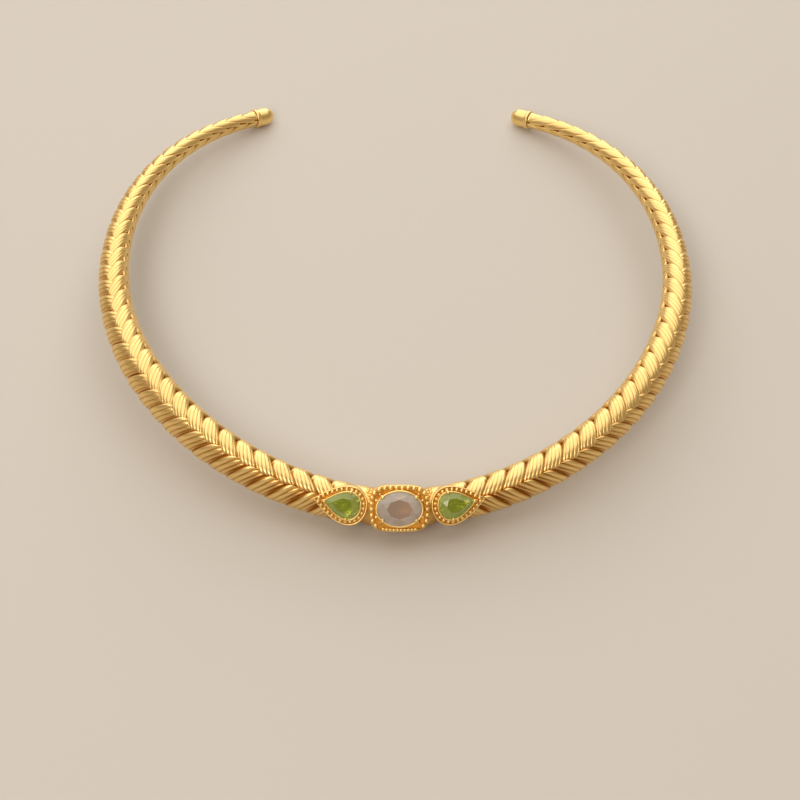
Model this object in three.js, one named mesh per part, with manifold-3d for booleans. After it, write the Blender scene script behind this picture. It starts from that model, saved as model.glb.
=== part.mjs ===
// Open torc necklace: a tapering gold hoop with a plaited relief, plain end caps and three gem settings.
// Millimetres, +Z up. The wearer's front faces -Y, and the part lies on the plane Z = 0.
import * as THREE from 'three';
import { mergeVertices } from 'three/addons/utils/BufferGeometryUtils.js';
import Module from 'manifold-3d';

const wasm = await Module();
wasm.setup();

const { lerp, smoothstep, degToRad, clamp } = THREE.MathUtils;

// Hoop: the plan is an ellipse at the front and a squarer curve at the back, open between its two ends.
const hoopShape = {
  halfWidth: 66,
  halfDepth: 64.4,
  endAngle: degToRad(156.2),
  backPower: 0.85,
  frontHeight: 4.35,
  endHeight: 1.746,
  arch: 8.7,
  archSkew: 1.2,
};

// Section of the hoop: full over the front, then tapering smoothly beyond `from`, a share of each half.
const sectionWidth = { front: 8.15, end: 3.85, from: 0.35 };
const sectionHeight = { front: 9.3, end: 4.0, from: 0.3 };

// Plait: four columns of slanting lobes round the section, meeting in V-shaped seams.
const plait = {
  lobesPerHalf: 37,
  pitchSpread: 0.03,
  slant: 1.25,
  grooveShare: 0.075,
  seamShare: 0.6,
  seamSwing: degToRad(9),
  firstSeam: degToRad(70),
  calmLobes: 3,
};
const lobeRise = [0, 0.8, 1, 0.8];
const stepsPerLobe = lobeRise.length;
const columns = 4;
const pointsPerColumn = 3;
const ringPoints = columns * pointsPerColumn;

// Plain flat pad under the front centre, which the hoop rests on.
const restPadHalfLength = 5.5;

const endCap = { length: 5.4, radius: 2.2, collar: 2.35, collarEnd: 0.9, domeStart: 3.2, sides: 14 };

const seam = 0.25;
const settingTilt = degToRad(50);
const hoopSaddle = { reach: 24, rings: 16, points: 16 };

// Each setting lies in its own frame: x along the hoop, y up the hoop's face, z out of the face.
// `face` and `girdle` are heights above the hoop's centreline, and a pear's point lies on +x.
const centreSetting = {
  along: 0,
  lift: 0.5,
  plate: { outline: 'cushion', length: 13.1, width: 10.2, face: 5.6, back: 2.8, bevel: 0.35 },
  stone: { outline: 'oval', length: 9.9, width: 7.6, shift: 0, girdle: 6.5, crown: 1.2, pavilion: 2.0 },
  bezelWall: 0.4,
  beads: { count: 30, radius: 0.54, inset: 0.5 },
  prongs: { radius: 0.6, angles: [42, 138, 222, 318] },
};
const sideSetting = {
  along: 12.75,
  lift: 0,
  plate: { outline: 'pear', length: 12, width: 8.7, face: 5.0, back: 1.8, bevel: 0.35 },
  stone: { outline: 'pear', length: 8, width: 6, shift: -0.5, girdle: 5.8, crown: 0.95, pavilion: 1.3 },
  bezelWall: 0.35,
  beads: { count: 24, radius: 0.4, inset: 0.8 },
  prongs: { radius: 0.5, angles: [0, 110, 250] },
};
const stoneFacets = 16;
const stoneRows = [
  { size: 0.58, height: 1 },
  { size: 0.82, height: 0.62 },
  { size: 1, height: 0.06 },
  { size: 0.999, height: -0.06 },
  { size: 0.55, height: -0.6 },
  { size: 0.02, height: -1 },
];

const goldFinish = { color: 0xd8a441, roughness: 0.34, metalness: 1 };
const centreStoneFinish = { color: 0xc9ae96, roughness: 0.05, metalness: 0 };
const sideStoneFinish = { color: 0x8fa81e, roughness: 0.05, metalness: 0 };

/** The line through the middle of the hoop, from its left end round the front to its right end. */
class HoopCentreline extends THREE.Curve {
  getPoint(t, target = new THREE.Vector3()) {
    const angle = (2 * t - 1) * hoopShape.endAngle;
    const share = Math.abs(2 * t - 1);
    const power = Math.cos(angle) > 0 ? 1 : hoopShape.backPower;
    const x = Math.sign(angle) * hoopShape.halfWidth * Math.abs(Math.sin(angle)) ** power;
    const y = -hoopShape.halfDepth * Math.cos(angle);
    const base = lerp(hoopShape.frontHeight, hoopShape.endHeight, share);
    const rise = hoopShape.arch * Math.sin(Math.PI * share ** hoopShape.archSkew);
    return target.set(x, y, base + rise);
  }
}

const centreline = new HoopCentreline();
centreline.arcLengthDivisions = 2000;
const halfLength = centreline.getLength() / 2;
const plaitHalf = halfLength - endCap.length;

/** Axes of the hoop at a signed distance from the front centre, positive towards the right end. */
function frameAt(along) {
  const u = clamp(0.5 + along / (2 * halfLength), 0, 1);
  const tangent = centreline.getTangentAt(u);
  const outward = new THREE.Vector3(tangent.y, -tangent.x, 0).normalize();
  const up = new THREE.Vector3().crossVectors(outward, tangent);
  return { centre: centreline.getPointAt(u), tangent, outward, up };
}

function taper(size, along) {
  return lerp(size.front, size.end, smoothstep(Math.abs(along) / halfLength, size.from, 1));
}

/** Point on the hoop's section at an angle from its outer side, pushed in (or out) by `inset`. */
function sectionPoint(along, angle, inset) {
  const { centre, outward, up } = frameAt(along);
  const across = (taper(sectionWidth, along) / 2 - inset) * Math.cos(angle);
  const above = (taper(sectionHeight, along) / 2 - inset) * Math.sin(angle);
  return centre.addScaledVector(outward, across).addScaledVector(up, above);
}

/** Closed skin through equal rings of points, in order along the hoop, with a fan over each end. */
function skinRings(rings) {
  const count = rings[0].length;
  const last = rings.length - 1;
  const centreOf = (ring) => ring.reduce((sum, p) => sum.add(p), new THREE.Vector3()).divideScalar(count);
  const points = [...rings.flat(), centreOf(rings[0]), centreOf(rings[last])];
  const startHub = rings.length * count;
  const index = [];
  for (let j = 0; j < count; j += 1) {
    const next = (j + 1) % count;
    for (let i = 0; i < last; i += 1) {
      const [a, b, c, d] = [i * count + j, (i + 1) * count + j, (i + 1) * count + next, i * count + next];
      index.push(a, b, c, a, c, d);
    }
    index.push(startHub, j, next);
    index.push(startHub + 1, last * count + next, last * count + j);
  }
  const geometry = new THREE.BufferGeometry().setFromPoints(points).setIndex(index);
  geometry.computeVertexNormals();
  return geometry;
}

/** Distance of a plait step from the front centre; the lobes shorten evenly towards the ends. */
function stepDistance(step) {
  const share = Math.abs(step) / (plait.lobesPerHalf * stepsPerLobe);
  const eased = (1 + plait.pitchSpread) * share - plait.pitchSpread * share * share;
  return Math.sign(step) * plaitHalf * eased;
}

/** How far a lobe rises out of its groove, 0 to 1, in one of the four columns at one step. */
function riseInColumn(column, step) {
  const shifted = Math.abs(step) + (column % 2) * (stepsPerLobe / 2);
  return lobeRise[shifted % stepsPerLobe];
}

/** One point of the plait: the lobes slant away from the seams and swing over each other there. */
function plaitPoint(step, point) {
  const column = Math.floor(point / pointsPerColumn);
  const place = (point % pointsPerColumn) / pointsPerColumn;
  const lastStep = plait.lobesPerHalf * stepsPerLobe;
  const calmSteps = plait.calmLobes * stepsPerLobe;
  const slantFade = Math.min(1, Math.abs(step) / calmSteps, (lastStep - Math.abs(step)) / calmSteps);
  const pitch = plaitHalf / plait.lobesPerHalf;
  const slantShare = column % 2 === 0 ? place : 1 - place;
  const along = stepDistance(step) + Math.sign(step) * slantShare * slantFade * plait.slant * pitch;
  let angle = plait.firstSeam + (column + place) * (2 * Math.PI / columns);
  let rise = riseInColumn(column, step);
  if (place === 0) {
    const before = riseInColumn((column + columns - 1) % columns, step);
    angle += (before - rise) * plait.seamSwing;
    rise = 1 - plait.seamShare;
  }
  const groove = plait.grooveShare * taper(sectionWidth, along) * (1 - rise);
  const position = sectionPoint(along, angle, groove);
  const onRestPad = Math.sin(angle) < -0.85 && Math.abs(along) < restPadHalfLength;
  return onRestPad ? position.setZ(0) : position;
}

function hoopGeometry() {
  const lastStep = plait.lobesPerHalf * stepsPerLobe;
  const rings = [];
  for (let step = -lastStep; step <= lastStep; step += 1) {
    rings.push(Array.from({ length: ringPoints }, (_, point) => plaitPoint(step, point)));
  }
  return skinRings(rings);
}

/** Rounded cap with a low collar, standing on its base along +Y. */
function endCapGeometry() {
  const { length, radius, collar, collarEnd, domeStart, sides } = endCap;
  const dome = new THREE.EllipseCurve(0, domeStart, radius, length - domeStart, 0, Math.PI / 2);
  const profile = [
    new THREE.Vector2(0, seam),
    new THREE.Vector2(radius, seam),
    new THREE.Vector2(collar, seam + 0.15),
    new THREE.Vector2(collar, collarEnd),
    new THREE.Vector2(radius, collarEnd + 0.2),
    ...dome.getPoints(5),
  ];
  profile[profile.length - 1].x = 0;
  return new THREE.LatheGeometry(profile, sides);
}

const outlines = {
  oval: (t) => [Math.cos(t), Math.sin(t)],
  cushion: (t) => [Math.cos(t), Math.sin(t)].map((v) => Math.sign(v) * Math.abs(v) ** 0.55),
  pear: (t) => [Math.cos(t), Math.sin(t) * Math.sin(t / 2) / 0.77],
};

/** Closed outline of a stone or plate. */
function outlineShape(outline, length, width, count) {
  const points = Array.from({ length: count }, (_, i) => {
    const [x, y] = outlines[outline](2 * Math.PI * i / count);
    return new THREE.Vector2(x * length / 2, y * width / 2);
  });
  return new THREE.Shape(points);
}

function solidOf(geometry) {
  const bare = geometry.clone();
  bare.deleteAttribute('normal');
  bare.deleteAttribute('uv');
  const merged = mergeVertices(bare, 1e-4);
  const vertProperties = new Float32Array(merged.attributes.position.array);
  const triVerts = new Uint32Array(merged.index.array);
  return new wasm.Manifold(new wasm.Mesh({ numProp: 3, vertProperties, triVerts }));
}

function geometryOf(solid) {
  const { vertProperties, triVerts } = solid.getMesh();
  const geometry = new THREE.BufferGeometry();
  geometry.setAttribute('position', new THREE.BufferAttribute(vertProperties, 3));
  geometry.setIndex(new THREE.BufferAttribute(triVerts, 1));
  geometry.computeVertexNormals();
  return geometry;
}

/** Cut stone with a flat table, lying with its girdle at z = 0. `grow` gives the seat it drops into. */
function stoneGeometry({ outline, length, width, crown, pavilion }, grow) {
  const rings = stoneRows.map(({ size, height }) => {
    const depth = height < 0 ? pavilion + grow : crown + grow;
    return Array.from({ length: stoneFacets }, (_, i) => {
      const [x, y] = outlines[outline](2 * Math.PI * i / stoneFacets);
      const [reachX, reachY] = [size * (length / 2 + grow), size * (width / 2 + grow)];
      return new THREE.Vector3(x * reachX, y * reachY, height * depth);
    });
  });
  return skinRings(rings);
}

/** Plate with its edge bevelled, from `back` up to `face`. */
function plateSolid({ outline, length, width, face, back, bevel }) {
  const shape = outlineShape(outline, length - 2 * bevel, width - 2 * bevel, 28);
  const edge = { bevelSize: bevel, bevelThickness: bevel, bevelSegments: 1 };
  const slab = new THREE.ExtrudeGeometry(shape, { depth: face - back - 2 * bevel, ...edge });
  return solidOf(slab.translate(0, 0, back + bevel));
}

/** Thin wall round the girdle of the stone, standing on the plate. */
function bezelSolid({ stone, plate, bezelWall }) {
  const reach = 2 * (seam + bezelWall);
  const shape = outlineShape(stone.outline, stone.length + reach, stone.width + reach, 28);
  const depth = stone.girdle + 0.3 - plate.face + 0.5;
  const wall = new THREE.ExtrudeGeometry(shape, { depth, bevelEnabled: false });
  return solidOf(wall.translate(stone.shift, 0, plate.face - 0.5));
}

function beadSolid(radius, x, y, z) {
  return solidOf(new THREE.SphereGeometry(radius, 8, 4).rotateX(Math.PI / 2).translate(x, y, z));
}

/** Granules set at equal distances along the plate's edge. */
function beadRow({ plate, beads }) {
  const { count, radius, inset } = beads;
  const shape = outlineShape(plate.outline, plate.length - 2 * inset, plate.width - 2 * inset, 80);
  shape.closePath();
  const places = shape.getSpacedPoints(count).slice(0, count);
  return places.map(({ x, y }) => beadSolid(radius, x, y, plate.face));
}

/** Ball-ended prongs on the bezel, holding the edge of the stone. */
function prongSolids({ stone, prongs }) {
  return prongs.angles.map((degrees) => {
    const [x, y] = outlines[stone.outline](degToRad(degrees));
    const [reachX, reachY] = [stone.length / 2 + seam, stone.width / 2 + seam];
    return beadSolid(prongs.radius, stone.shift + x * reachX, y * reachY, stone.girdle + 0.3);
  });
}

/** Smooth sleeve round the front of the hoop, one seam larger than it, which the settings fit over. */
function saddleGeometry() {
  const { reach, rings, points } = hoopSaddle;
  const sections = Array.from({ length: rings + 1 }, (_, i) => {
    const along = lerp(-reach, reach, i / rings);
    return Array.from({ length: points }, (_, j) => sectionPoint(along, 2 * Math.PI * j / points, -seam));
  });
  return skinRings(sections);
}

function settingGeometry(setting, saddle) {
  const { plate, stone } = setting;
  const raised = [bezelSolid(setting), ...beadRow(setting), ...prongSolids(setting)];
  const metal = wasm.Manifold.union([plateSolid(plate), ...raised]);
  const seat = solidOf(stoneGeometry(stone, seam).translate(stone.shift, 0, stone.girdle));
  return geometryOf(metal.subtract(seat).subtract(solidOf(saddle)));
}

function namedMesh(name, geometry, finish) {
  const mesh = new THREE.Mesh(geometry, new THREE.MeshStandardMaterial(finish));
  mesh.name = name;
  return mesh;
}

/** Group in the frame of a setting at a distance along the hoop; `turn` swings a pear's tip round. */
function settingFrame(along, lift, turn) {
  const { centre, tangent, outward, up } = frameAt(along);
  const group = new THREE.Group();
  group.position.copy(centre);
  group.quaternion.setFromRotationMatrix(new THREE.Matrix4().makeBasis(tangent, up, outward));
  group.rotateX(-settingTilt);
  group.translateY(lift);
  group.rotateZ(turn);
  group.updateMatrixWorld();
  return group;
}

function mountSetting(setting, place, along, turn, stoneFinish) {
  const group = settingFrame(along, setting.lift, turn);
  const saddle = saddleGeometry().applyMatrix4(group.matrixWorld.clone().invert());
  const metal = namedMesh(`${place}_setting`, settingGeometry(setting, saddle), goldFinish);
  const stone = namedMesh(`${place}_stone`, stoneGeometry(setting.stone, 0), stoneFinish);
  stone.position.set(setting.stone.shift, 0, setting.stone.girdle);
  return group.add(metal, stone);
}

function mountEndCap(name, side) {
  const { centre, tangent } = frameAt(side * plaitHalf);
  const cap = namedMesh(name, endCapGeometry(), goldFinish);
  cap.position.copy(centre);
  cap.quaternion.setFromUnitVectors(new THREE.Vector3(0, 1, 0), tangent.multiplyScalar(side));
  return cap;
}

const torc = new THREE.Group();
torc.add(namedMesh('hoop', hoopGeometry(), goldFinish));
torc.add(mountSetting(centreSetting, 'centre', 0, 0, centreStoneFinish));
for (const [side, name, turn] of [[-1, 'left', Math.PI], [1, 'right', 0]]) {
  torc.add(mountEndCap(`end_cap_${name}`, side));
  torc.add(mountSetting(sideSetting, `${name}_side`, side * sideSetting.along, turn, sideStoneFinish));
}

// The origin is at the middle of the whole part's plan, on the plane that it lies on.
const middle = new THREE.Box3().setFromObject(torc, true).getCenter(new THREE.Vector3());
torc.position.set(-middle.x, -middle.y, 0);

export default torc;
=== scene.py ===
# Open torc necklace in gold: a plaited hoop tapering to plain rounded ends, with three stones at the front.
# Lengths are in millimetres and angles in degrees, unless a note says otherwise.
import math

import bpy
import numpy as np
from mathutils import Matrix, Vector


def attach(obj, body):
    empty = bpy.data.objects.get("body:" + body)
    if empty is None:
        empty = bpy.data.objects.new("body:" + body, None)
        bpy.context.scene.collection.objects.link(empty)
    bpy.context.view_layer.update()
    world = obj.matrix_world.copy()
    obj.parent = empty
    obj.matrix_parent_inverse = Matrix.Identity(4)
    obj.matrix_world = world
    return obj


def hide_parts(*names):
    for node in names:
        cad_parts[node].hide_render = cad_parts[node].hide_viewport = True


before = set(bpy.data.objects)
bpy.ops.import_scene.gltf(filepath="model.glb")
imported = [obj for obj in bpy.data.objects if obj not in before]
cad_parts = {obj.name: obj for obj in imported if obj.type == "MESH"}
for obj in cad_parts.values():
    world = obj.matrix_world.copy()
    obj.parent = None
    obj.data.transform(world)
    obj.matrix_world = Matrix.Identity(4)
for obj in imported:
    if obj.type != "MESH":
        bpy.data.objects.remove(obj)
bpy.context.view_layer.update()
scene = bpy.context.scene
scene.view_settings.view_transform = "Standard"
mm = 0.001
print("frame loaded")

# Where the camera stands round its target, then how far it is dipped, panned and rolled.
view = {
    "target": (0.0, 0.0, 5.0),
    "distance": 500.0,
    "rise": 50.0,  # above the floor
    "turn": -1.98,  # round the upright axis
    "dip": 2.654,
    "pan": 0.196,
    "roll": 1.672,
    "lens": 95.175,
    "sensor": 36.0,
    "clip": (0.01, 20.0),  # metres
}


# The camera stands on a sphere round the target, then its own axes are dipped, panned and rolled a little.
def placeCamera():
    rise, turn, dip, pan, roll = (math.radians(view[key]) for key in ("rise", "turn", "dip", "pan", "roll"))
    back = np.array([math.sin(turn) * math.cos(rise), -math.cos(turn) * math.cos(rise), math.sin(rise)])
    right = np.array([math.cos(turn), math.sin(turn), 0.0])
    up = np.cross(back, right)
    dipped = -back * math.cos(dip) - up * math.sin(dip)
    upper = up * math.cos(dip) - back * math.sin(dip)
    forward = dipped * math.cos(pan) + right * math.sin(pan)
    side = right * math.cos(pan) - dipped * math.sin(pan)
    across = side * math.cos(roll) + upper * math.sin(roll)
    above = upper * math.cos(roll) - side * math.sin(roll)
    place = (np.array(view["target"]) + view["distance"] * back) * mm
    camera = bpy.data.objects.new("camera", bpy.data.cameras.new("camera"))
    camera.data.lens = view["lens"]
    camera.data.sensor_width = view["sensor"]
    camera.data.clip_start, camera.data.clip_end = view["clip"]
    camera.matrix_world = Matrix(np.c_[across, above, -forward, place].tolist() + [[0, 0, 0, 1]])
    scene.collection.objects.link(camera)
    scene.camera = camera


placeCamera()

# Soft square lights aimed at the origin: place and size in metres, power in watts.
lights = {
    "overhead": {"place": (-0.15, 0.55, 0.9), "size": 2.0, "power": 14.0, "colour": (1.0, 0.97, 0.92)},
    "back": {"place": (0.1, 1.5, 0.35), "size": 1.0, "power": 4.5, "colour": (1.0, 0.97, 0.92)},
    "front": {"place": (-0.5, -1.0, 1.2), "size": 0.7, "power": 8.0, "colour": (1.0, 0.95, 0.88)},
}
room = {"colour": (0.95, 0.76, 0.56, 1), "strength": 0.36}


def softLight(name, place, size, power, colour):
    lamp = bpy.data.lights.new(name, "AREA")
    lamp.shape = "SQUARE"
    lamp.size = size
    lamp.energy = power
    lamp.color = colour
    holder = bpy.data.objects.new(name, lamp)
    holder.location = place
    holder.rotation_euler = (-Vector(place)).to_track_quat("-Z", "Y").to_euler()
    scene.collection.objects.link(holder)


def lightRoom():
    world = bpy.data.worlds.new("studio")
    world.use_nodes = True
    glow = world.node_tree.nodes["Background"]
    glow.inputs["Color"].default_value = room["colour"]
    glow.inputs["Strength"].default_value = room["strength"]
    scene.world = world


for name, lamp in lights.items():
    softLight(name, **lamp)
lightRoom()
print("camera and lights placed")


# Puts points in millimetres and their faces into a mesh object whose place is in its mesh.
def makePiece(name, points, faces, smooth=True, groove=None):
    mesh = bpy.data.meshes.new(name)
    mesh.from_pydata((points * mm).tolist(), [], faces)
    mesh.polygons.foreach_set("use_smooth", np.full(len(mesh.polygons), smooth))
    # the groove attribute holds how much painted shade each point gets
    if groove is not None:
        attribute = mesh.attributes.new("groove", "FLOAT", "POINT")
        attribute.data.foreach_set("value", groove.astype(np.float32))
    mesh.validate()
    mesh.update()
    piece = bpy.data.objects.new(name, mesh)
    scene.collection.objects.link(piece)
    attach(piece, "root")
    return piece


# Faces of a stack of closed skins, each `rows` rings of `ring` points followed by a pole for either end.
def skinFaces(count, rows, ring):
    size = rows * ring + 2
    first = np.arange(count)[:, None, None] * size
    row = np.arange(rows - 1)[None, :, None] * ring
    here = np.arange(ring)[None, None, :]
    beside = (here + 1) % ring
    lower = first + row
    upper = lower + ring
    quads = np.stack([lower + here, lower + beside, upper + beside, upper + here], -1)
    near = np.arange(count)[:, None] * size
    here, beside = here[0], beside[0]
    pole = near + rows * ring
    far = near + (rows - 1) * ring
    startFan = np.stack([pole + 0 * here, near + beside, near + here], -1)
    endFan = np.stack([pole + 1 + 0 * here, far + here, far + beside], -1)
    return quads.reshape(-1, 4), np.concatenate([startFan.reshape(-1, 3), endFan.reshape(-1, 3)])


# Closes rings of points (count, rows, ring, 3) with a pole at the middle of each end ring. The volume that
# the faces hold is the sum of a . (b x c) / 6, and where it comes out negative every face is turned round.
def closeSkins(rings):
    count, rows, ring = rings.shape[:3]
    poles = np.stack([rings[:, 0].mean(1), rings[:, -1].mean(1)], 1)
    points = np.concatenate([rings.reshape(count, -1, 3), poles], 1).reshape(-1, 3)
    quads, fans = skinFaces(count, rows, ring)
    corners = np.concatenate([quads[:, [0, 1, 2]], quads[:, [0, 2, 3]], fans])
    a, b, c = (points[corners[:, k]] for k in range(3))
    if np.einsum("ij,ij->", a, np.cross(b, c)) < 0:
        quads, fans = quads[:, ::-1], fans[:, ::-1]
    return points, quads, fans


# Joins several closed stacks into one list of points and faces.
def joinSkins(stacks):
    points, faces, start = [], [], 0
    for rings in stacks:
        part, quads, fans = closeSkins(rings)
        points.append(part)
        faces += (quads + start).tolist() + (fans + start).tolist()
        start += len(part)
    return np.concatenate(points), faces


hoop = {
    "halfWidth": 66.0,
    "halfDepth": 64.4,
    "endAngle": 156.2,  # from the front centre to each end
    "backPower": 0.85,
    "frontHeight": 4.35,
    "endHeight": 1.746,
    "arch": 8.7,
    "archSkew": 1.2,
    "width": (8.15, 3.85, 0.35),  # at the front, at the ends, share of each half where the taper starts
    "height": (9.3, 4.0, 0.3),
    "shift": 5.7615,  # moves the whole plan so that its box is centred
    "capLength": 5.4,
    "fuller": ((-50, 55, 0.75), (118, 60, -0.45)),  # where the hoop is fuller, half reach, how much
    "fullerAngle": 140,  # round the section
}


# Straight blend from one value to another.
def blendTo(front, end, share):
    return front + (end - front) * share


# Smooth step: 3 s^2 - 2 s^3 of the share s that lies between two values.
def smoothStep(value, low, high):
    share = np.clip((value - low) / (high - low), 0, 1)
    return share * share * (3 - 2 * share)


# Middle line: an ellipse in plan at the front and a squarer curve at the back, its sine raised to
# backPower, with a skewed half wave of height over each half. Lengths along it start at the front centre.
def traceHoop(samples=6001):
    share = np.linspace(-1, 1, samples)
    away = np.abs(share)
    angle = share * math.radians(hoop["endAngle"])
    power = np.where(np.cos(angle) > 0, 1, hoop["backPower"])
    x = np.sign(angle) * hoop["halfWidth"] * np.abs(np.sin(angle)) ** power
    y = hoop["shift"] - hoop["halfDepth"] * np.cos(angle)
    wave = np.sin(np.pi * away ** hoop["archSkew"])
    z = blendTo(hoop["frontHeight"], hoop["endHeight"], away) + hoop["arch"] * wave
    line = np.stack([x, y, z], -1)
    along = np.concatenate([[0], np.cumsum(np.linalg.norm(np.diff(line, axis=0), axis=1))])
    along -= along[-1] / 2
    tangent = np.gradient(line, along, axis=0)
    tangent /= np.linalg.norm(tangent, axis=1)[:, None]
    outward = np.stack([tangent[:, 1], -tangent[:, 0], 0 * x], -1)
    outward /= np.linalg.norm(outward, axis=1)[:, None]
    return along, line, tangent, outward, np.cross(outward, tangent)


path = traceHoop()
halfLength = path[0][-1]
plaitHalf = halfLength - hoop["capLength"]


# Middle, tangent, outward and upward axes of the hoop at distances along it.
def frameAt(along):
    return [np.stack([np.interp(along, path[0], part[:, k]) for k in range(3)], -1) for part in path[1:]]


# Width or height of the hoop: its front value passes to its end value with the smooth step.
def taper(size, along):
    return blendTo(size[0], size[1], smoothStep(np.abs(along) / halfLength, size[2], 1))


# How thick the hoop is, as a share of its front.
def shareOfFront(along):
    return taper(hoop["width"], along) / hoop["width"][0]


# Point of the hoop's oval section at an angle from its outer side towards its top, raised by `rise`.
def sectionPoint(along, angle, rise):
    middle, _, outward, up = frameAt(along)
    towards = np.clip(np.cos(angle - math.radians(hoop["fullerAngle"])), 0, 1)
    for place, reach, amount in hoop["fuller"]:
        rise = rise + amount * towards * np.cos(np.pi / 2 * np.clip((along - place) / reach, -1, 1)) ** 2
    across = (taper(hoop["width"], along) / 2 + rise) * np.cos(angle)
    above = (taper(hoop["height"], along) / 2 + rise) * np.sin(angle)
    point = middle + outward * across[..., None] + up * above[..., None]
    point[..., 2] = np.maximum(point[..., 2], 0)
    return point


core = {
    "inset": 0.95,  # under the lobes
    "drop": 0.12,  # at the plain front
    "plainFront": (6.0, 9.5),  # distances between which the core sinks under the lobes
    # share of painted shade on the plain front of the core
    "frontShade": 0.6,
    "rings": 700,
    "points": 40,
}
# Places across a lobe run from -1 at its front side to 1 at its end side.
plait = {
    "lobes": 37,  # on each half
    "spread": 0.03,  # the lobes shorten evenly by this share towards the ends
    "frontLook": (0.08, 0.42),  # shares of an arm over which the look of the front gives way
    "farLeanReach": (0.08, 0.3),  # shares of an arm over which the far ends start to lean
    "lateAcross": 1.66,
    "hookAcross": (-0.2, 0.6),  # places between which the wires begin to hook
    "hookReach": 0.1,  # share of a lobe that bends back over the spine
    "hookPull": 0.22,
    "hookLift": 0.5,
    "underside": (0.7, 0.0, -0.9),  # places across the hidden underside
    "undersideDepth": 1.5,
    "turning": (0.05, 0.4),  # shares of a lobe over which its near grooves turn into its far ones
    "levelling": (0.3, 0.72),  # shares of a lobe over which its far side levels out
    "levelShare": 0.85,
    "levelGroove": 0.6,
    "fading": (0.6, 0.85),  # shares of an arm over which the wires fade into plain lobes
    "fadeGroove": 0.75,
    "fadeCrown": 0.8,
    "turnNoise": 1.5,
    "slideNoise": 0.015,
    "seed": 5,
}
# What makes up a point's painted shade value, from 0 on lit metal to 1 in full painted shade: the sides of
# a lobe, its front side that laps under its neighbour, the lines of its grooves and its sunk ends.
paintedShadeMix = {
    "sideShadeStart": 0.82,  # place across where the sides of a lobe begin to darken
    "sideShadeShare": 5.0,
    "frontShadeAcross": 0.2,  # place across where the shaded front side begins
    "frontShadeReach": (0.25, 0.8),  # shares of a lobe over which it ends
    "lineShadeFade": 0.7,
    "sunkShadeShare": 0.9,
}
places = (0, 0.25, 0.5, 0.75, 1)  # shares of an arm at which the fives are given
# Every lobe is a bundle of wires that lie side by side, and four columns of lobes go round the section.
# Fives are values at even places along an arm, and pairs are values at the front and half way along it.
sharedLook = {
    "lean": ((0, 0, 0, 0, 0), (0, 0, 0, 0, 0)),  # turns the near ends on the left and on the right arm
    "farLean": (0, 0),  # turns the far ends on either arm
    "late": (0, 0),  # how much earlier the end side of a lobe starts than its front side
    "lift": (0, 0),
    "bow": (0, 0),  # in lobe steps, like offset, slant and breadth
    "breadth": 1.0,
    "spots": (0, 0.07, 0.25, 0.5, 0.75, 0.93),  # places across one wire
    "fall": (4, 4),  # power with which the back falls off, by crown, towards both sides
    "tilt": (0.05, 0.05),
    "topWire": (0, 0),  # extra height of the last wire
    "near": (0.6, 0.6),  # breadth of the near end, rounded over the share `round`
    "round": (0.4, 0.4),
    "sinkNear": (0.6, 0.6),  # how deep the near end goes down, over the share nearReach
    "nearReach": (0.15, 0.15),
    "hook": 0,  # how far the end side bends back over the spine
    "rows": 14,
}
armLean = ((-3, 5, 8, 8, 8), (-8, -13, -6, -3, -3))
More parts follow.
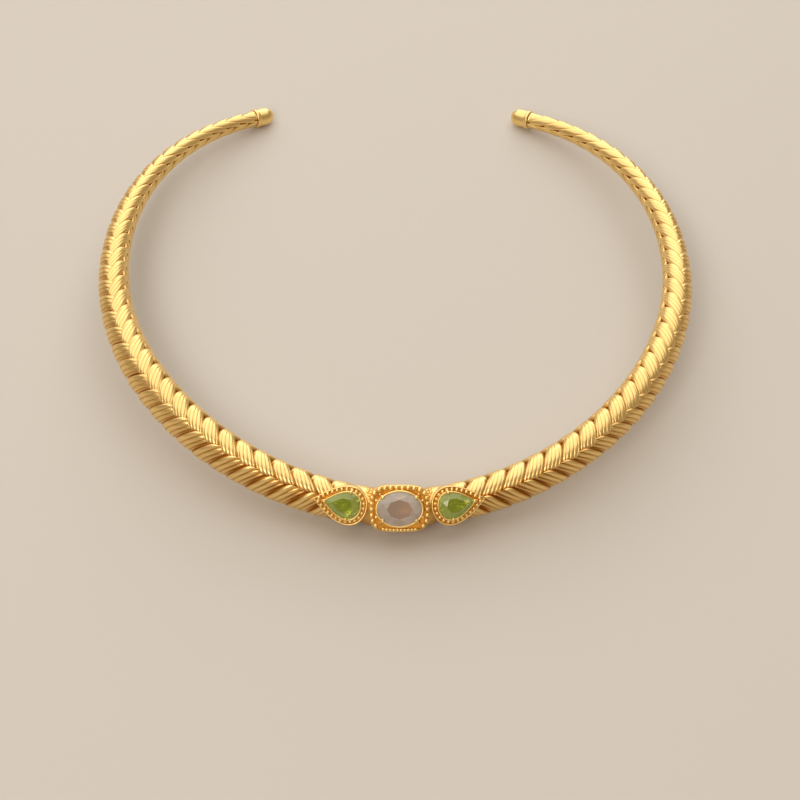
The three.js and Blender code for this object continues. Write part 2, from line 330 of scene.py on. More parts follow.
# Start and finish are angles round the section from its outer side, and `edges` are the wires' borders
# across a lobe. The grooves between them are `groove` deep, and `grooveNear` at the near end. The far end
# narrows to the share `far` over the share `pointed`, and sinks by sinkFar over farReach. The front-side
# shade and `line` say how much painted shade the lapped front side and the grooves get.
columns = {
    "plait_upper": dict(
        sharedLook, start=(50, 60, 72, 80, 88), finish=(170, 171, 172, 168, 164), lean=armLean,
        farLean=(0, 15), late=(0, 16), offset=(0.22, 0.22), slant=(0.86, 1.08, 1.6, 1.6, 1.5),
        bow=(0.1, 0.12), breadth=1.1,
        edges=(-1.25, -0.6, -0.2, 0.2, 0.6, 1), wire=3.0, groove=(0.045, 0.05), grooveNear=(0.3, 0.045),
        crown=(0.5, 0.5), fall=(4, 5), tilt=(0.14, 0.12), near=(0.85, 0.45), round=(0.3, 0.3), far=0.0,
        pointed=(0.8, 0.82, 0.75, 0.5, 0.3), paintedFrontShade=(0.0, 0.1), line=(0.6, 0.85), sinkNear=(0.55, 0.3),
        nearReach=(0.2, 0.07), sinkFar=(0.5, 0.25), farReach=0.28, rows=20,
    ),
    "plait_outer": dict(
        sharedLook, start=(48, 64, 84, 92, 99), finish=(-70, -60, -40, -25, -10), lean=armLean,
        late=(-16, 0), offset=(0.46, 0.66), slant=(1.3, 1.2, 0.8, 0.5, 0.4), bow=(0.27, 0.08), breadth=1.04,
        edges=(-1.2, -0.66, -0.2, 0.32, 1), wire=2.4, groove=(0.46, 0.12), grooveNear=(0.5, 0.12),
        crown=(0.2, 0.7), fall=(3.4, 5), tilt=(0.66, 0.18), topWire=(0.42, 0.0), near=(0.85, 0.85),
        round=(0.2, 0.2), far=0.75, pointed=(0.22, 0.22, 0.22, 0.22, 0.22), paintedFrontShade=(0.8, 0.3), line=(1, 1),
        sinkNear=(0.8, 0.5), nearReach=(0.12, 0.16), sinkFar=(0.8, 0.8), farReach=0.2, hook=13, rows=20,
    ),
    "plait_inner": dict(
        sharedLook, start=(250, 250, 250, 248, 246), finish=(98, 112, 130, 148, 158), farLean=(0, 12),
        lift=(0, -0.05), offset=(0.0, 0.0), slant=(1.0, 1.05, 1.1, 1.15, 1.15), edges=(-1.2, 0, 1),
        wire=2.6, groove=(0.08, 0.06), grooveNear=(0.08, 0.06), crown=(0.45, 0.3), far=0.6,
        pointed=(0.3, 0.3, 0.3, 0.3, 0.3), paintedFrontShade=(0.3, 0.1), line=(0.9, 0.9), sinkFar=(0.6, 0.6),
        farReach=0.1,
    ),
    "plait_under": dict(
        sharedLook, start=(236, 238, 240, 240, 240), finish=(318, 320, 325, 330, 340), offset=(0.5, 0.5),
        slant=(1.1, 1.0, 0.9, 0.8, 0.7), edges=(-1.2, -0.33, 0.33, 1), spots=(0, 0.12, 0.5, 0.88), wire=2.4,
        groove=(0.12, 0.08), grooveNear=(0.12, 0.08), crown=(0.4, 0.4), far=0.5,
        pointed=(0.4, 0.4, 0.4, 0.4, 0.4), paintedFrontShade=(0.3, 0.3), line=(1, 1), sinkFar=(0.8, 0.8), farReach=0.2,
    ),
}


# Value of a look along an arm: fives run straight between their places and pairs follow the smooth step.
def lookAt(look, key, away):
    values = look[key]
    if len(values) == len(places):
        return np.interp(away, places, values)
    return blendTo(*values, smoothStep(away, *plait["frontLook"]))


# Distance of a lobe step from the front centre: its share s of the arm becomes (1 + spread) s - spread s^2.
def stepDistance(step):
    share = np.clip(step / plait["lobes"], 0, 1)
    return plaitHalf * ((1 + plait["spread"]) * share - plait["spread"] * share * share)


# Quarter circle that falls from 1 at an end of a lobe to 0 where the share reaches 1.
def endCurve(share):
    return 1 - np.sqrt(1 - (1 - np.clip(share, 0, 1)) ** 2)


# Places across a lobe from its front side to its end side and back underneath, with two heights there:
# every wire is a ridge (1 - |w|^wire)^(1/wire) high, and the last wire is also a half sine.
def lobeProfile(look):
    edges, spots = np.array(look["edges"], float), np.array(look["spots"])
    hidden = np.array(plait["underside"])
    wires = len(edges) - 1
    x = np.append((edges[:-1, None] + np.diff(edges)[:, None] * spots).ravel(), 1.0)
    oneRidge = (1 - np.abs(2 * spots - 1) ** look["wire"]) ** (1 / look["wire"])
    ridge = np.append(np.tile(oneRidge, wires), 0.0)
    lastWire = np.append(np.tile(0 * spots, wires - 1), np.append(np.sin(np.pi * spots), 0.0))
    under = np.arange(len(x) + len(hidden)) >= len(x)
    ridge, lastWire = (np.append(part, 0 * hidden) for part in (ridge, lastWire))
    return np.append(x, hidden), ridge, lastWire, under


# Places along a lobe, as shares of it: half a cosine, so that they lie closer together at both ends.
def lobePlaces(rows):
    return 0.5 - 0.5 * np.cos(np.pi * (np.arange(rows) + 0.3) / (rows - 0.4))


# Half breadth of a lobe along u: an ellipse rounds its near end and a sine points its far end.
def leafBreadth(look, u, away):
    near = lookAt(look, "near", away)
    blunt = near + (1 - near) * (1 - endCurve(u / lookAt(look, "round", away)))
    point = np.sin(np.pi / 2 * np.clip((1 - u) / lookAt(look, "pointed", away), 0, 1))
    return blunt * (look["far"] + (1 - look["far"]) * point)


# Every lobe of one column on one side, as rings round it, and how much painted shade each point gets. u
# runs along a lobe from the spine and x across it from its front side, which laps under its neighbour, to
# its end side. Its back falls off with |x|^fall and tilts up with x, and its ends round down. Wires with a
# hook keep on past the spine on the end side and bend down over it with the square of the distance.
def lobeRings(look, side, noise):
    x, ridge, lastWire, under = lobeProfile(look)
    u = lobePlaces(look["rows"])[None, :, None]
    arm = (side + 1) // 2
    lobe = np.arange(1, plait["lobes"])[:, None, None]
    away = lobe / plait["lobes"]
    atFront = 1 - smoothStep(away, *plait["frontLook"])
    turn, slide = noise.uniform(-1, 1, (2, len(lobe), 1, 1))

    hooked = smoothStep(x, *plait["hookAcross"]) * (look["hook"] > 0) * atFront
    past = np.clip(1 - u / plait["hookReach"], 0, 1) * hooked
    late = lookAt(look, "late", away) * np.clip((x + 1) / plait["lateAcross"], 0, 1)
    start = lookAt(look, "start", away) + np.interp(away, places, look["lean"][arm]) - late
    start = start + plait["turnNoise"] * turn
    finish = lookAt(look, "finish", away) + look["farLean"][arm] * smoothStep(away, *plait["farLeanReach"])
    angle = np.radians(start + (finish - start) * u - look["hook"] * past ** 2)
    step = lobe + lookAt(look, "offset", away) + lookAt(look, "slant", away) * u
    step = step + lookAt(look, "bow", away) * np.sin(np.pi * u)
    step = step - plait["hookPull"] * past ** 1.5 + plait["slideNoise"] * slide
    along = side * stepDistance(step + 0.5 * look["breadth"] * leafBreadth(look, u, away) * x)

    nearEnd = lookAt(look, "sinkNear", away) * endCurve(u / lookAt(look, "nearReach", away))
    farEnd = lookAt(look, "sinkFar", away) * endCurve((1 - u) / look["farReach"])
    low = nearEnd * (1 - plait["hookLift"] * hooked) + farEnd
    plain = smoothStep(away, *plait["fading"])
    level = plait["levelShare"] * smoothStep(u, *plait["levelling"])
    turned = smoothStep(u, *plait["turning"])
    depth = blendTo(lookAt(look, "grooveNear", away), lookAt(look, "groove", away), turned)
    depth = depth * (1 - plait["fadeGroove"] * plain) * (1 - plait["levelGroove"] * level)
    crown = lookAt(look, "crown", away) * (1 + plait["fadeCrown"] * plain)
    tilted = lookAt(look, "tilt", away) * x + lookAt(look, "topWire", away) * lastWire
    rise = lookAt(look, "lift", away) - low - crown * np.abs(x) ** lookAt(look, "fall", away)
    rise = rise + tilted * (1 - level) - depth * (1 - ridge)
    rise = np.where(under, -plait["undersideDepth"], rise)

    # Painted shade: the lobe's sides where it meets its neighbours, its front side lapped under the next
    # lobe, the lines between its wires and its sunk ends are coloured deep.
    edge = paintedShadeMix["sideShadeShare"] * np.maximum(np.abs(x) - paintedShadeMix["sideShadeStart"], 0)
    paintedFrontShade = lookAt(look, "paintedFrontShade", away) * np.clip(paintedShadeMix["frontShadeAcross"] - x, 0, 1)
    paintedFrontShade = paintedFrontShade * (1 - smoothStep(u, *paintedShadeMix["frontShadeReach"]))
    line = lookAt(look, "line", away) * (1 - ridge) * (1 - paintedShadeMix["lineShadeFade"] * plain)
    groove = np.clip(paintedFrontShade + line + edge + paintedShadeMix["sunkShadeShare"] * low, 0, 1) + 0 * along
    return sectionPoint(along, angle, rise * shareOfFront(along)), groove


# A column is the lobes of both arms. The noise turns and slides each lobe a little.
def makeColumn(name, look):
    stacks, shades = [], []
    noise = np.random.default_rng(plait["seed"])
    for side in (-1, 1):
        rings, groove = lobeRings(look, side, noise)
        stacks.append(rings)
        # the poles at the lobes' ends get full painted shade
        shadedPoles = np.ones((len(groove), 2))
        shades.append(np.concatenate([groove.reshape(len(groove), -1), shadedPoles], 1).ravel())
    points, faces = joinSkins(stacks)
    return makePiece(name, points, faces, groove=np.concatenate(shades))


# Core: the hoop's own section, kept below the lobes and full only at the plain front. It is coloured as
# painted shade where it shows between the lobes, and partly so at the plain front.
def makeCore():
    along = np.linspace(-plaitHalf, plaitHalf, core["rings"])[:, None]
    angle = np.linspace(0, 2 * np.pi, core["points"], endpoint=False)[None, :]
    sunk = smoothStep(np.abs(along), *core["plainFront"])
    rise = -core["inset"] * shareOfFront(along) * sunk - core["drop"]
    rings = sectionPoint(along + 0 * angle, angle + 0 * along, rise + 0 * angle)
    points, faces = joinSkins([rings[None]])
    # painted shade: full where the core sinks under the lobes, a lighter share at the plain front, full at
    # the poles
    deep = np.append((blendTo(core["frontShade"], 1, sunk) + 0 * angle).ravel(), [1, 1])
    piece = makePiece("hoop_core", points, faces, groove=deep)
    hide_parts("hoop")
    return piece


hoopPieces = [makeCore()] + [makeColumn(name, look) for name, look in columns.items()]
print("plait made:", sum(len(piece.data.polygons) for piece in hoopPieces), "faces")

# The collar gives radii and distances along the hoop, from its face to the straight barrel.
cap = {
    "collar": (
        (1.7, 0.12), (2.15, 0.12), (2.32, 0.2), (2.35, 0.35),
        (2.35, 0.7), (2.31, 0.84), (2.2, 0.95), (2.2, 1.2),
    ),
    "radius": 2.2,
    "domeStart": 3.0,
    "domeRings": 13,
    "sides": 48,
}


# Lathe of a profile: a short collar with rounded edges, a straight barrel and an elliptical dome.
def makeCap(name, node, side):
    middle, tangent, outward, up = (part[0] for part in frameAt(np.array([side * plaitHalf])))
    turn = np.pi / 2 * np.arange(cap["domeRings"]) / cap["domeRings"]
    domeLength = hoop["capLength"] - cap["domeStart"]
    dome = np.stack([cap["radius"] * np.cos(turn), cap["domeStart"] + domeLength * np.sin(turn)], -1)
    profile = np.concatenate([cap["collar"], dome])
    angle = np.linspace(0, 2 * np.pi, cap["sides"], endpoint=False)[None, :, None]
    ring = outward * np.cos(angle) + up * np.sin(angle)
    rings = middle + profile[:, None, :1] * ring + profile[:, None, 1:] * tangent * side
    rings[..., 2] = np.maximum(rings[..., 2], 0)
    points, faces = joinSkins([rings[None]])
    piece = makePiece(name, points, faces)
    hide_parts(node)
    return piece


caps = [makeCap("plain_cap_left", "end_cap_left", -1), makeCap("plain_cap_right", "end_cap_right", 1)]
print("end caps made")

# Rows of a plate or bezel are given as pairs: how far outside its outline a row lies, and its height over
# the back, the face or the girdle.
settingShape = {
    "tilt": 50,  # of the settings' faces, round the hoop
    "points": 96,  # round every outline
    "backEdge": ((-0.6, 0.0), (-0.1, 0.1), (0, 0.5)),  # over the back
    "plainEdge": ((0, -0.25), (-0.06, -0.08)),  # over the face
    "plainFloor": ((-0.2, 0), (-0.7, 0)),
    "rimFloor": ((-0.55, -0.15),),
    "rimFoot": -0.25,
    "rimRows": 7,
    "rimWidth": 0.44,
    "rimDrop": 0.12,
    "seat": ((0.2, -0.05), (-0.15, -0.1)),  # outside the stone, over the face
    "pit": ((0.45, -0.25), (0.2, -0.35)),  # shares of the stone, over its lowest point
}
bezel = {
    "foot": -0.3,  # over the face
    "top": 0.22,  # over the girdle
    "outerWall": ((0.12, 0), (0.06, 0.4)),  # outside the wall, over the foot
    "outerLip": ((0, -0.2), (-0.08, -0.04), (-0.2, 0)),  # outside the wall, over the top
    "innerLip": ((0.02, -0.02), (-0.1, -0.12), (-0.12, -0.22), (0.02, -0.35)),  # outside the stone
    "innerWall": ((0.04, 0.1), (0.1, 0)),  # outside the stone, over the foot
}
centreSetting = {
    "outline": "cushion", "plate": (13.1, 10.2), "lift": 0.5, "face": 5.45, "back": 2.0, "rim": 0.0,
    "stoneOutline": "oval", "stone": (9.9, 7.6), "stoneShift": 0.0, "girdle": 6.5,
    "crown": 1.15, "pavilion": 2.0, "wall": 0.3,
    # from and to (shares of the outline, anticlockwise from the right), count, radius, inset, lift
    "beads": (
        (0.095, 0.405, 10, 0.60, 0.50, 0.15),
        (0.435, 0.605, 6, 0.56, 0.50, 0.08),
        (0.895, 1.065, 6, 0.56, 0.50, 0.08),
        (0.655, 0.845, 10, 0.46, 0.50, 0.00),
        (0.39, 0.44, 2, 0.44, 1.40, 0.05),
        (0.56, 0.61, 2, 0.44, 1.40, 0.05),
        (0.89, 0.94, 2, 0.44, 1.40, 0.05),
        (0.06, 0.11, 2, 0.44, 1.40, 0.05),
    ),
    "prongs": (42, 138, 222, 318), "prongRadius": 0.5,
}
sideSetting = {
    "outline": "pear", "plate": (12.0, 8.7), "lift": 0.0, "face": 4.9, "back": 1.4, "rim": 0.32,
    "stoneOutline": "pear", "stone": (8.0, 6.0), "stoneShift": -0.5, "girdle": 5.8,
    "crown": 0.95, "pavilion": 1.4, "wall": 0.26,
    "beads": ((0.02, 0.98, 25, 0.44, 0.84, 0.12),),
    "prongs": (0, 110, 250), "prongRadius": 0.42,
}
sideDistance = 12.75  # of the side settings from the front centre, along the hoop
prong = {
    "rows": 12,
    "points": 12,
    "rootReach": 0.75,  # outside the stone
    "rootDepth": 0.2,  # under the face
    "tipLean": 0.42,
    "tipHeight": 0.5,  # over the girdle
    "neck": 0.72,  # thickness of the neck as a share of the ball
    "swelling": (0.3, 0.8),  # shares of the prong over which it thickens
    "rounding": (0.75, 0.27),  # where the ball starts to round off, and over what share
}
# Granules on the hoop that fill the notches between the plates: how far from the front centre, angle round
# the section, radius.
notchBeads = ((6.95, 85, 0.36), (6.72, 95, 0.38), (7.35, 97, 0.36), (6.6, 106, 0.38), (7.25, 107, 0.38))
notchLift = 0.1  # of their middles over the hoop, as a share of the radius


outlineForm = {"cushionPower": 0.55, "pearWidest": 0.77}


# Outlines: an oval, a superellipse with flat sides, and a pear as wide as sin t sin(t/2) over its greatest.
def outlineAt(kind, turn):
    x, y = np.cos(turn), np.sin(turn)
    if kind == "cushion":
        x, y = (np.sign(part) * np.abs(part) ** outlineForm["cushionPower"] for part in (x, y))
    if kind == "pear":
        y = y * np.sin(turn / 2) / outlineForm["pearWidest"]
    return x, y


# Places points of a setting's own frame: x along the hoop, y up its face, z out of the face.
def placeInSetting(setting, local):
    middle, tangent, outward, up = (part[0] for part in frameAt(np.array([setting["along"]])))
    tilt = math.radians(settingShape["tilt"])
    upward = up * math.cos(tilt) - outward * math.sin(tilt)
    facing = outward * math.cos(tilt) + up * math.sin(tilt)
    origin = middle + upward * setting["lift"]
    turned = setting["turned"]
    return origin + turned * (local[..., :1] * tangent + local[..., 1:2] * upward) + local[..., 2:] * facing


# Closed skin whose rows are outlines: each row gives the outline's kind, half length, half width, shift
# and height.
def outlineSkin(rows):
    turn = np.linspace(0, 2 * np.pi, settingShape["points"], endpoint=False)
    rings = []
    for kind, halfLong, halfWide, shift, height in rows:
        x, y = outlineAt(kind, turn)
        rings.append(np.stack([x * halfLong + shift, y * halfWide, 0 * x + height], -1))
    return np.array(rings)[None]


# Rows of a plate from its back over its edge and floor into the pit under the stone, and the row where its
# floor starts. A rim is half an ellipse over the edge.
def plateRows(setting):
    shape, kind, stoneKind = settingShape, setting["outline"], setting["stoneOutline"]
    long, wide = (size / 2 for size in setting["plate"])
    stoneLong, stoneWide = (size / 2 for size in setting["stone"])
    back, face, rim, shift = setting["back"], setting["face"], setting["rim"], setting["stoneShift"]
    lowest = setting["girdle"] - setting["pavilion"]
    edge = [(grow, back + height) for grow, height in shape["backEdge"]]
    if rim:
        arc, radius = np.linspace(0, np.pi, shape["rimRows"]), shape["rimWidth"] / 2
        edge.append((0, face + shape["rimFoot"]))
        edge += list(zip(radius * np.cos(arc) - radius, face + rim * np.sin(arc) - shape["rimDrop"]))
    else:
        edge += [(grow, face + height) for grow, height in shape["plainEdge"]]
    level = shape["rimFloor"] if rim else shape["plainFloor"]
    rows = [(kind, long + grow, wide + grow, 0, height) for grow, height in edge]
    rows += [(kind, long + grow, wide + grow, 0, face + height) for grow, height in level]
    for grow, height in shape["seat"]:
        rows.append((stoneKind, stoneLong + grow, stoneWide + grow, shift, face + height))
    for size, height in shape["pit"]:
        rows.append((stoneKind, stoneLong * size, stoneWide * size, shift, lowest + height))
    return rows, len(edge)


# Bezel: a thin wall round the stone, its lip rounded and turned in over the girdle.
def bezelRows(setting):
    kind, shift, wall = setting["stoneOutline"], setting["stoneShift"], setting["wall"]
    long, wide = (size / 2 for size in setting["stone"])
    foot, top = setting["face"] + bezel["foot"], setting["girdle"] + bezel["top"]
    rows = []
    for part, reach, level in (
        ("outerWall", wall, foot), ("outerLip", wall, top), ("innerLip", 0, top), ("innerWall", 0, foot),
    ):
        for grow, height in bezel[part]:
            rows.append((kind, long + reach + grow, wide + reach + grow, shift, level + height))
    return rows


# Points at equal shares of an outline's length.
def spacedPoints(kind, halfLong, halfWide, shares):
    turn = np.linspace(0, 2 * np.pi, 721)
    x, y = outlineAt(kind, turn)
    x, y = x * halfLong, y * halfWide
    run = np.concatenate([[0], np.cumsum(np.hypot(np.diff(x), np.diff(y)))])
    at = np.mod(shares, 1) * run[-1]
    return np.interp(at, run, x), np.interp(at, run, y)


# Balls: a circle turned about its diameter, one grid for all of them.
def ballRings(centres, radii, rows=7, ring=12):
    tilt = np.pi * (np.arange(rows) + 1) / (rows + 1)
    turn = np.linspace(0, 2 * np.pi, ring, endpoint=False)
    z = np.cos(tilt)[:, None] + 0 * turn
    x, y = np.sin(tilt)[:, None] * np.cos(turn), np.sin(tilt)[:, None] * np.sin(turn)
    unit = np.stack([x, y, z], -1)
    return centres[:, None, None, :] + radii[:, None, None, None] * unit[None]


# Rows of equal balls, spaced evenly along the plate's outline drawn in by the inset.
def beadRings(setting):
    halfLong, halfWide = (size / 2 for size in setting["plate"])
    centres, radii = [], []
    for start, end, count, radius, inset, lift in setting["beads"]:
        shares = np.linspace(start, end, count)
        x, y = spacedPoints(setting["outline"], halfLong - inset, halfWide - inset, shares)
        centres.append(np.stack([x, y, 0 * x + setting["face"] + lift], -1))
        radii.append(np.full(count, radius))
    return ballRings(np.concatenate(centres), np.concatenate(radii))


# Prongs: a claw rises outside the bezel as a quarter sine and leans in over the stone with the square of
# u, its end rounded into a ball.
def prongRings(setting):
    turn = np.radians(np.array(setting["prongs"], float))
    x, y = outlineAt(setting["stoneOutline"], turn)
    halfLong, halfWide = (size / 2 for size in setting["stone"])
    away = np.stack([x * halfLong, y * halfWide, 0 * x], -1)
    outward = away / np.linalg.norm(away, axis=1)[:, None]
    upward = np.array([0, 0, 1.0])
    shift = np.array([setting["stoneShift"], 0, 0])
    u = np.linspace(0, 1, prong["rows"])
    lean = prong["rootReach"] * (1 - u) - prong["tipLean"] * u ** 2
    rootHeight = setting["face"] - prong["rootDepth"]
    height = rootHeight + (setting["girdle"] + prong["tipHeight"] - setting["face"]) * np.sin(u * np.pi / 2)
    ballStart, ballReach = prong["rounding"]
    ball = np.sqrt(1 - np.clip((u - ballStart) / ballReach, 0, 1) ** 2)
    thick = setting["prongRadius"] * blendTo(prong["neck"], 1, smoothStep(u, *prong["swelling"])) * ball
    middle = away[:, None] + shift + outward[:, None] * lean[:, None] + upward * height[:, None]
    tangent = np.gradient(middle, axis=1)
    tangent /= np.linalg.norm(tangent, axis=-1)[..., None]
    beside = np.cross(upward, outward)[:, None] + 0 * tangent
    over = np.cross(tangent, beside)
    angle = np.linspace(0, 2 * np.pi, prong["points"], endpoint=False)[:, None]
    circle = beside[:, :, None] * np.cos(angle) + over[:, :, None] * np.sin(angle)
    return middle[:, :, None] + circle * thick[:, None, None]


# Faces of a closed band whose profile goes round and meets itself.
def bandFaces(count, ring):
    here, beside = np.arange(count)[:, None] * ring, (np.arange(count)[:, None] + 1) % count * ring
    k, after = np.arange(ring)[None], (np.arange(ring)[None] + 1) % ring
    return np.stack([here + k, beside + k, beside + after, here + after], -1).reshape(-1, 4)


# A setting is its plate, beads and prongs with the bezel round the stone.
def makeSetting(setting, name, node):
    rows, floorRow = plateRows(setting)
    plate = outlineSkin(rows)
    wall = outlineSkin(bezelRows(setting))[0].transpose(1, 0, 2)
    points, faces = joinSkins([plate, beadRings(setting), prongRings(setting)])
    faces += (bandFaces(*wall.shape[:2]) + len(points)).tolist()
    points = np.concatenate([points, wall.reshape(-1, 3)])
    # painted shade: the plate's floor under the beads, its seat and the pit under the stone are coloured
    # deep; the walls, the rim, the beads, prongs and bezel are not
    shade = np.zeros(len(points))
    shade[floorRow * plate.shape[2]:plate.shape[1] * plate.shape[2] + 2] = 1
    piece = makePiece(name, placeInSetting(setting, points), faces, groove=shade)
    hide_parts(node)
    return piece


# The beads of one notch are mirrored for the other.
def makeNotchBeads():
    along, angle, radius = (np.tile(column, 2) for column in np.array(notchBeads).T)
    along[len(notchBeads):] *= -1
    centres = sectionPoint(along, np.radians(angle), notchLift * radius)
    points, faces = joinSkins([ballRings(centres, radius)])
    return makePiece("notch_granules", points, faces)


# Brilliant cut: sizes are shares of the stone's outline, and the facets' painted light and shade runs from
# pale (0) to deep (1).
cut = {
    "mains": 8,
    "table": 0.56,
    "star": 0.80,
    "low": 0.55,
    "girdle": 0.05,  # half its height
    "clearance": 0.02,
    "tableShade": 1.0,
    "facetLightAndShade": (0.0, 0.5),
    "lowFacetShade": 0.6,
    "seed": 3,
}


# Table, star points, girdle, lower points and culet. A ring point halfway between two kites lies on their
# plane, which fixes its height.
def stonePoints(setting):
    mains, table, star, low, girdle = (cut[key] for key in ("mains", "table", "star", "low", "girdle"))
    halfLong, halfWide = (size / 2 - cut["clearance"] for size in setting["stone"])
    crown, pavilion = setting["crown"], setting["pavilion"]
    step = np.pi / mains
    both = step * np.arange(2 * mains)
    whole, half = 2 * step * np.arange(mains), 2 * step * (np.arange(mains) + 0.5)
    starHeight = crown * (1 - (star * math.cos(step) - table) / (1 - table))
    lowHeight = -pavilion * (1 - low * math.cos(step))
    rings = []
    for turn, size, height in (
        (whole, table, crown),
        (half, star, starHeight),
        (both, 1.0, girdle),
        (both, 1.0, -girdle),
        (half, low, lowHeight),
    ):
        x, y = outlineAt(setting["stoneOutline"], turn)
        rings.append(np.stack([x * halfLong * size, y * halfWide * size, 0 * x + height], -1))
    points = np.concatenate(rings + [[[0, 0, -pavilion]]])
    return points + np.array([setting["stoneShift"], 0, setting["girdle"]])


# Faces in the order table, star facets, kites, upper facets, girdle, lower facets and lower mains.
def stoneFaces():
    mains = cut["mains"]
    k = np.arange(mains)
    after, before = (k + 1) % mains, (k - 1) % mains
    star, girdle, low, culet = (mains * part for part in (1, 2, 6, 7))
    g0, g1, g2 = girdle + 2 * k, girdle + 2 * k + 1, girdle + (2 * k + 2) % (2 * mains)
    b0, b1, b2 = g0 + 2 * mains, g1 + 2 * mains, g2 + 2 * mains
    groups = (
        (k, star + k, after), (k, star + before, g0, star + k), (star + k, g0, g1), (star + k, g1, g2),
        (g0, b0, b1, g1), (g1, b1, b2, g2), (b0, low + k, b1), (b1, low + k, b2),
        (low + before, culet + 0 * k, low + k, b0),
    )
    faces = [k.tolist()]
    for corners in groups:
        faces += np.stack(corners, -1).tolist()
    return faces


def makeStone(setting, name, node):
    points = placeInSetting(setting, stonePoints(setting))
    piece = makePiece(name, points, stoneFaces(), smooth=False)
    count = len(piece.data.polygons)
    # painted reflections and shade: random tones on the facets, with the table and lower facets darker
    shade = np.random.default_rng(cut["seed"]).uniform(*cut["facetLightAndShade"], count)
    shade[0] = cut["tableShade"]
    shade[6 * cut["mains"] + 1:] = cut["lowFacetShade"]
    attribute = piece.data.attributes.new("shade", "FLOAT", "FACE")
    attribute.data.foreach_set("value", shade.astype(np.float32))
    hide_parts(node)
    return piece


notchGranules = makeNotchBeads()
settings, stones = [], []
for place, node, base, along, turned, slot in (
    ("centre", "centre", centreSetting, 0.0, 1, "pale_quartz"),
    ("left", "left_side", sideSetting, -sideDistance, -1, "green_peridot"),
    ("right", "right_side", sideSetting, sideDistance, 1, "green_peridot"),
):
    setting = dict(base, along=along, turned=turned)
    settings.append(makeSetting(setting, place + "_bezel_setting", node + "_setting"))
    stones.append(makeStone(setting, place + "_cut_stone", node + "_stone"))
print("settings and stones made")

goldLook = {
    "Bright": (1.0, 0.745, 0.31, 1),
    # Deep is the colour of the painted shade, and also the dark end of the slow drift of tone
    "Deep": (0.50, 0.21, 0.018, 1),  # down in the grooves
    "Polish": 0.34,
    "Patchiness": 0.08,
    "Grain Size": 0.0003,  # metres
}
goldPattern = {
    "driftScale": 90.0,
    "driftRange": (0.3, 0.7, 0.0, 0.16),  # noise from and to, shares of the deep colour
    "patchScale": 420.0,
    "grooveShadePower": 1.1,
    "grooveShare": 0.95,
    "grooveRoughness": 0.12,
    "reliefStrength": 0.5,
}
grainHeights = {"plaited_shaded": 0.00002, "polished": 0.000015, "granulated_shaded": 0.00002}  # metres
stoneLooks = {
    # pale and deep are the lit and the shaded colour that the facets' painted light mixes
    "pale_quartz": {
        "pale": (1.0, 0.95, 0.88, 1), "deep": (0.66, 0.50, 0.39, 1),
        "IOR": 1.54, "Transmission Weight": 0.62, "Roughness": 0.04,
    },
    "green_peridot": {
        "pale": (0.88, 1.0, 0.28, 1), "deep": (0.50, 0.66, 0.03, 1),
        "IOR": 1.65, "Transmission Weight": 0.74, "Roughness": 0.04,
    },
}


def newMaterial(name):
    material = bpy.data.materials.new(name)
    material.use_nodes = True
    return material, material.node_tree, material.node_tree.nodes["Principled BSDF"]


def newGroup(name, inputs, outputs):
    group = bpy.data.node_groups.new(name, "ShaderNodeTree")
    for label, value in inputs.items():
        kind = "Color" if isinstance(value, tuple) else "Float"
        socket = group.interface.new_socket(name=label, in_out="INPUT", socket_type="NodeSocket" + kind)
        socket.default_value = value
    for label, kind in outputs:
        group.interface.new_socket(name=label, in_out="OUTPUT", socket_type="NodeSocket" + kind)
    return group, group.nodes.new("NodeGroupInput").outputs, group.nodes.new("NodeGroupOutput").inputs


# Adds a node with its fields set. Each socket gets a value or a link.
def addNode(tree, kind, sockets=(), **fields):
    node = tree.nodes.new("ShaderNode" + kind)
    for key, value in fields.items():
        setattr(node, key, value)
    for socket, value in dict(sockets).items():
        if isinstance(value, bpy.types.NodeSocket):
            tree.links.new(value, node.inputs[socket])
        else:
            node.inputs[socket].default_value = value
    return node


def mixColour(tree, share, first, second):
    return addNode(tree, "Mix", {0: share, 6: first, 7: second}, data_type="RGBA").outputs[2]


def mathNode(tree, operation, *values):
    return addNode(tree, "Math", enumerate(values), operation=operation).outputs[0]


def mapRange(tree, value, *ends):
    return addNode(tree, "MapRange", enumerate((value, *ends))).outputs[0]


def noiseNode(tree, place, scale, detail):
    return addNode(tree, "TexNoise", {"Vector": place, "Scale": scale, "Detail": detail}).outputs["Fac"]


# Worked gold: a slow drift of tone, painted shade in the deep colour wherever the painted shade input is
# high (in the grooves, at the lobes' sides and under the beads), a soft polish that varies in patches and
# is rougher where the shade is painted, and a fine skin of casting grain.
def makeGoldGroup():
    outputs = (("Colour", "Color"), ("Roughness", "Float"), ("Height", "Float"))
    group, given, out = newGroup("workedGold", {**goldLook, "Painted Shade": 0.0}, outputs)
    place = addNode(group, "TexCoord").outputs["Object"]
    drift = noiseNode(group, place, goldPattern["driftScale"], 3.0)
    patches = noiseNode(group, place, goldPattern["patchScale"], 4.0)
    grain = noiseNode(group, place, mathNode(group, "DIVIDE", 1.0, given["Grain Size"]), 3.0)
    tone = mapRange(group, drift, *goldPattern["driftRange"])
    toned = mixColour(group, tone, given["Bright"], given["Deep"])
    shadeShare = mathNode(group, "POWER", given["Painted Shade"], goldPattern["grooveShadePower"])
    shadeShare = mathNode(group, "MULTIPLY", shadeShare, goldPattern["grooveShare"])
    colour = mixColour(group, shadeShare, toned, given["Deep"])
    patch = mathNode(group, "SUBTRACT", patches, 0.5)
    rough = mathNode(group, "MULTIPLY_ADD", patch, given["Patchiness"], given["Polish"])
    rough = mathNode(group, "MULTIPLY_ADD", given["Painted Shade"], goldPattern["grooveRoughness"], rough)
    for label, value in (("Colour", colour), ("Roughness", rough), ("Height", grain)):
        group.links.new(value, out[label])
    return group


goldGroup = makeGoldGroup()


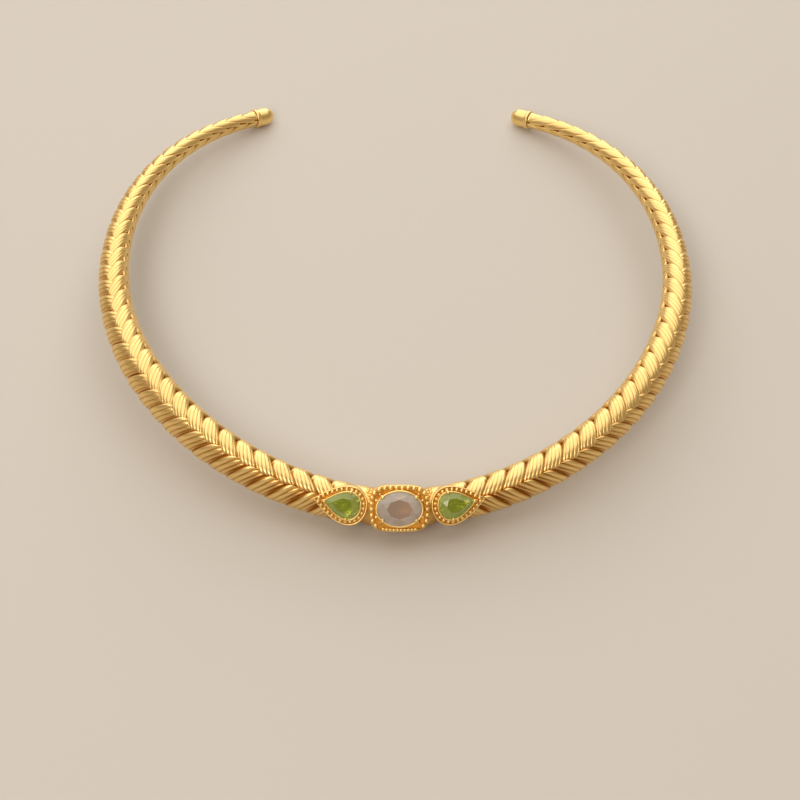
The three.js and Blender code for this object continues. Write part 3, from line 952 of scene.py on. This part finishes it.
def goldMaterial(finish, paintsShade):
    material, tree, shader = newMaterial(finish + "_gold_finish")
    skin = tree.nodes.new("ShaderNodeGroup")
    skin.node_tree = goldGroup
    # the mesh's groove attribute carries the painted shade into the gold
    if paintsShade:
        attribute = addNode(tree, "Attribute", attribute_name="groove")
        tree.links.new(attribute.outputs["Fac"], skin.inputs["Painted Shade"])
    relief = addNode(tree, "Bump", {
        "Strength": goldPattern["reliefStrength"],
        "Distance": grainHeights[finish],
        "Height": skin.outputs["Height"],
    })
    shader.inputs["Metallic"].default_value = 1.0
    tree.links.new(skin.outputs["Colour"], shader.inputs["Base Color"])
    tree.links.new(skin.outputs["Roughness"], shader.inputs["Roughness"])
    tree.links.new(relief.outputs["Normal"], shader.inputs["Normal"])
    return material


# Cut stone: painted light on the facets: the table is painted as deep shade, the lower facets deeper than
# most, and the facets round them get random pale to deep tones that stand in for reflections.
def stoneMaterial(slot):
    look = stoneLooks[slot]
    material, tree, shader = newMaterial(slot + "_finish")
    shade = addNode(tree, "Attribute", attribute_name="shade").outputs["Fac"]
    tree.links.new(mixColour(tree, shade, look["pale"], look["deep"]), shader.inputs["Base Color"])
    for socket in ("IOR", "Transmission Weight", "Roughness"):
        shader.inputs[socket].default_value = look[socket]
    return material


def finishPieces(pieces, material):
    for piece in pieces:
        piece.data.materials.append(material)


finishPieces(hoopPieces, goldMaterial("plaited_shaded", True))
finishPieces(caps, goldMaterial("polished", False))
finishPieces([notchGranules, *settings], goldMaterial("granulated_shaded", True))
finishPieces(stones[:1], stoneMaterial("pale_quartz"))
finishPieces(stones[1:], stoneMaterial("green_peridot"))
print("materials made")

ground = {"reach": 3.0, "level": -0.00003, "colour": (0.61, 0.58, 0.54, 1), "roughness": 0.6}  # metres


def makeFloor():
    reach, level = ground["reach"], ground["level"]
    corners = ((-1, -1), (1, -1), (1, 1), (-1, 1))
    mesh = bpy.data.meshes.new("floor")
    mesh.from_pydata([(x * reach, y * reach, level) for x, y in corners], [], [(0, 1, 2, 3)])
    floor = bpy.data.objects.new("floor", mesh)
    scene.collection.objects.link(floor)
    material, _, shader = newMaterial("pale_floor")
    shader.inputs["Base Color"].default_value = ground["colour"]
    shader.inputs["Roughness"].default_value = ground["roughness"]
    mesh.materials.append(material)


makeFloor()
